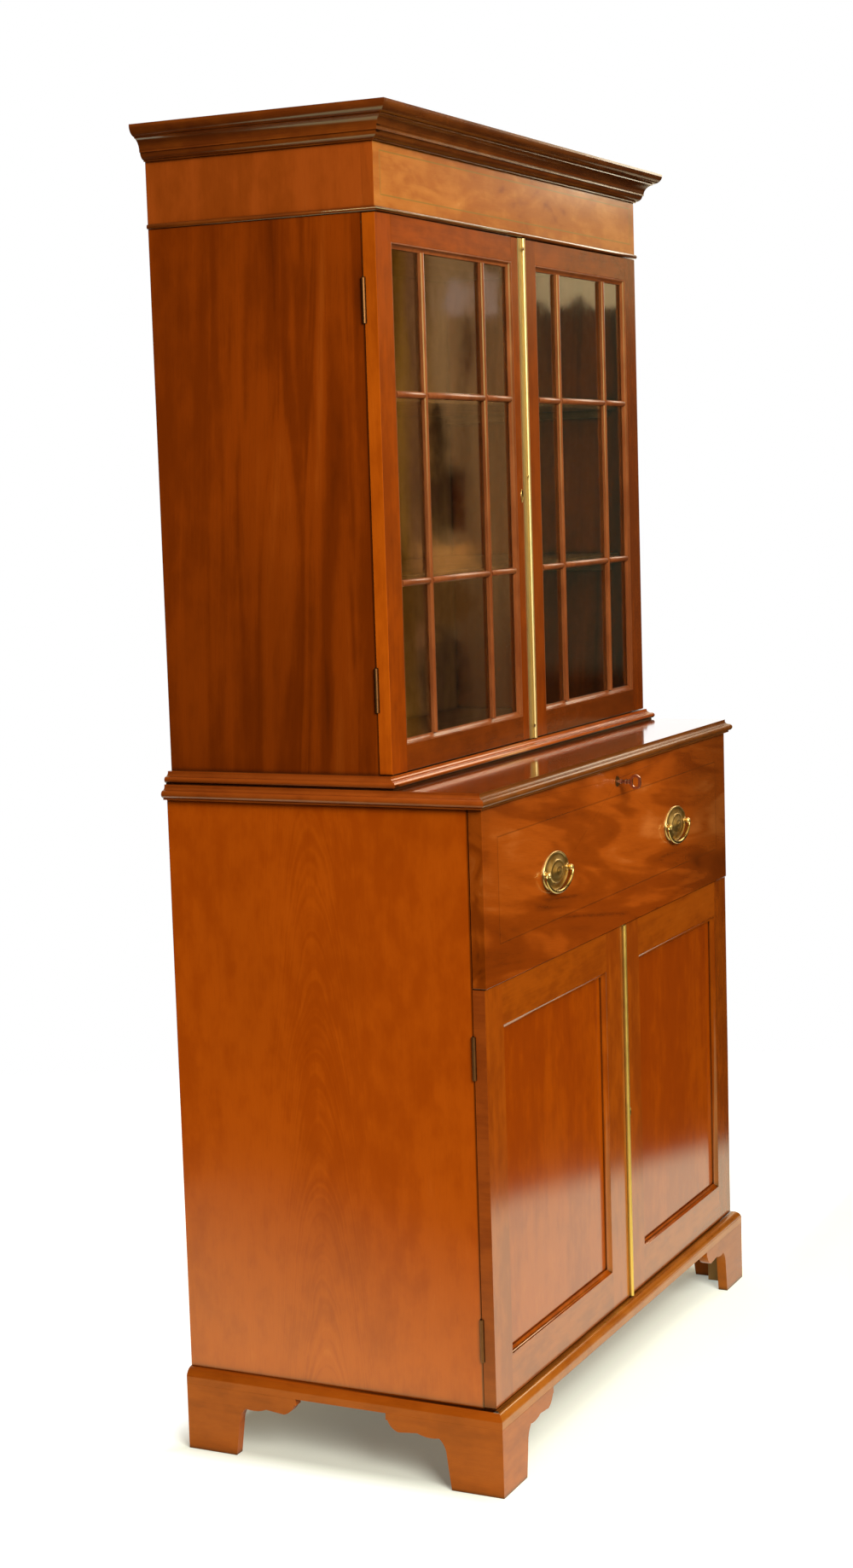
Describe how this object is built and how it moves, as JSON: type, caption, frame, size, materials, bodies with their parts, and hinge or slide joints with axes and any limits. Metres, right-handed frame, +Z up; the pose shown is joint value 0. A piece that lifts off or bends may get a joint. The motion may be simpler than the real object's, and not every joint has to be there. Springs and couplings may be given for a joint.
{
  "type": "secretaire bookcase",
  "caption": "Bookcase with glazed doors over a pull-out writing drawer with a fall front and a cupboard with panelled doors, on bracket feet.",
  "frame": {"origin": "on the floor, under the middle of the whole piece with its key", "axes": "+X to the viewer's right, +Y to the back, +Z up"},
  "size_m": [1.169, 0.597, 2.13],
  "materials": {
    "mahogany": "polished figured mahogany",
    "plain_wood": "plain waxed wood",
    "glass": "clear",
    "brass": "old polished brass",
    "steel": "dull steel",
    "leather": "writing leather"
  },
  "bodies": {
    "case": {"upper_left_side": "mahogany", "upper_right_side": "mahogany", "upper_boards": "plain_wood", "upper_backboards": "plain_wood", "shelves": "plain_wood", "shelf_bearers": "plain_wood", "frieze_boards": "mahogany", "frieze_bead": "mahogany", "cornice": "mahogany", "cornice_dust_board": "plain_wood", "waist_moulding": "mahogany", "lower_top_board": "mahogany", "lower_left_side": "mahogany", "lower_right_side": "mahogany", "lower_bottom_board": "plain_wood", "dust_board": "plain_wood", "lower_backboards": "plain_wood", "plinth_rails": "mahogany", "front_feet": "mahogany", "back_feet": "mahogany", "foot_blocks": "plain_wood", "case_hinges": "brass"},
    "upper_left_door": {"upper_left_door_frame": "mahogany", "upper_left_door_glazing_bars": "mahogany", "upper_left_door_glass": "glass", "upper_left_door_hinge_leaves": "brass", "upper_astragal": "brass", "upper_door_lock": "steel"},
    "upper_right_door": {"upper_right_door_frame": "mahogany", "upper_right_door_glazing_bars": "mahogany", "upper_right_door_glass": "glass", "upper_right_door_hinge_leaves": "brass"},
    "lower_left_door": {"lower_left_door_frame": "mahogany", "lower_left_door_panel": "mahogany", "lower_left_door_hinge_leaves": "brass"},
    "lower_right_door": {"lower_right_door_frame": "mahogany", "lower_right_door_panel": "mahogany", "lower_right_door_hinge_leaves": "brass", "lower_astragal": "brass", "lower_door_lock": "steel"},
    "secretaire_drawer": {"drawer_box": "plain_wood", "baseboard": "mahogany", "pigeonhole_case": "mahogany", "pigeonhole_dividers": "mahogany", "fall_hinge_plates": "brass"},
    "fall_front": {"fall_board": "mahogany", "fall_leather": "leather", "fall_quadrants": "brass", "fall_hinge_leaves": "brass", "fall_lock": "brass", "handle_mounts": "brass", "keyhole_escutcheon": "brass"},
    "left_bail": {"left_bail": "brass"},
    "right_bail": {"right_bail": "brass"},
    "lock_bolt": {"fall_lock_bolt": "brass"},
    "key": {"key": "brass"},
    "small_drawer_1": {"small_drawer_1": "mahogany"},
    "small_drawer_2": {"small_drawer_2": "mahogany"},
    "small_drawer_3": {"small_drawer_3": "mahogany"},
    "small_drawer_4": {"small_drawer_4": "mahogany"}
  },
  "joints": [
    {"name": "upper_left_door_hinge", "type": "hinge", "parent": "case", "child": "upper_left_door", "pos_m": [-0.5425, -0.0769, 1.5475], "axis": [0, 0, -1], "range_deg": [0, 110]},
    {"name": "upper_right_door_hinge", "type": "hinge", "parent": "case", "child": "upper_right_door", "pos_m": [0.5425, -0.0769, 1.5475], "axis": [0, 0, 1], "range_deg": [0, 110]},
    {"name": "lower_left_door_hinge", "type": "hinge", "parent": "case", "child": "lower_left_door", "pos_m": [-0.56, -0.2319, 0.4672], "axis": [0, 0, -1], "range_deg": [0, 110]},
    {"name": "lower_right_door_hinge", "type": "hinge", "parent": "case", "child": "lower_right_door", "pos_m": [0.56, -0.2319, 0.4672], "axis": [0, 0, 1], "range_deg": [0, 110]},
    {"name": "secretaire_slide", "type": "slide", "parent": "case", "child": "secretaire_drawer", "axis": [0, -1, 0], "range_m": [0, 0.25]},
    {"name": "fall_hinge", "type": "hinge", "parent": "secretaire_drawer", "child": "fall_front", "pos_m": [0, -0.2319, 0.8238], "axis": [1, 0, 0], "range_deg": [0, 90]},
    {"name": "left_bail_hinge", "type": "hinge", "parent": "fall_front", "child": "left_bail", "pos_m": [-0.28, -0.2637, 0.9395], "axis": [-1, 0, 0], "range_deg": [0, 80]},
    {"name": "right_bail_hinge", "type": "hinge", "parent": "fall_front", "child": "right_bail", "pos_m": [0.28, -0.2637, 0.9395], "axis": [-1, 0, 0], "range_deg": [0, 80]},
    {"name": "key_turn", "type": "hinge", "parent": "fall_front", "child": "key", "pos_m": [0, -0.2615, 1.0507], "axis": [0, 1, 0], "range_deg": [0, 90]},
    {"name": "lock_bolt_slide", "type": "slide", "parent": "fall_front", "child": "lock_bolt", "axis": [0, 0, 1], "range_m": [0, 0.006]},
    {"name": "small_drawer_1_slide", "type": "slide", "parent": "secretaire_drawer", "child": "small_drawer_1", "axis": [0, -1, 0], "range_m": [0, 0.15]},
    {"name": "small_drawer_2_slide", "type": "slide", "parent": "secretaire_drawer", "child": "small_drawer_2", "axis": [0, -1, 0], "range_m": [0, 0.15]},
    {"name": "small_drawer_3_slide", "type": "slide", "parent": "secretaire_drawer", "child": "small_drawer_3", "axis": [0, -1, 0], "range_m": [0, 0.15]},
    {"name": "small_drawer_4_slide", "type": "slide", "parent": "secretaire_drawer", "child": "small_drawer_4", "axis": [0, -1, 0], "range_m": [0, 0.15]}
  ],
  "couplings": [
    {"joint": "fall_hinge", "follows": "secretaire_slide", "rad_per_m": 6.28},
    {"joint": "key_turn", "follows": "lock_bolt_slide", "rad_per_m": 261.79}
  ]
}
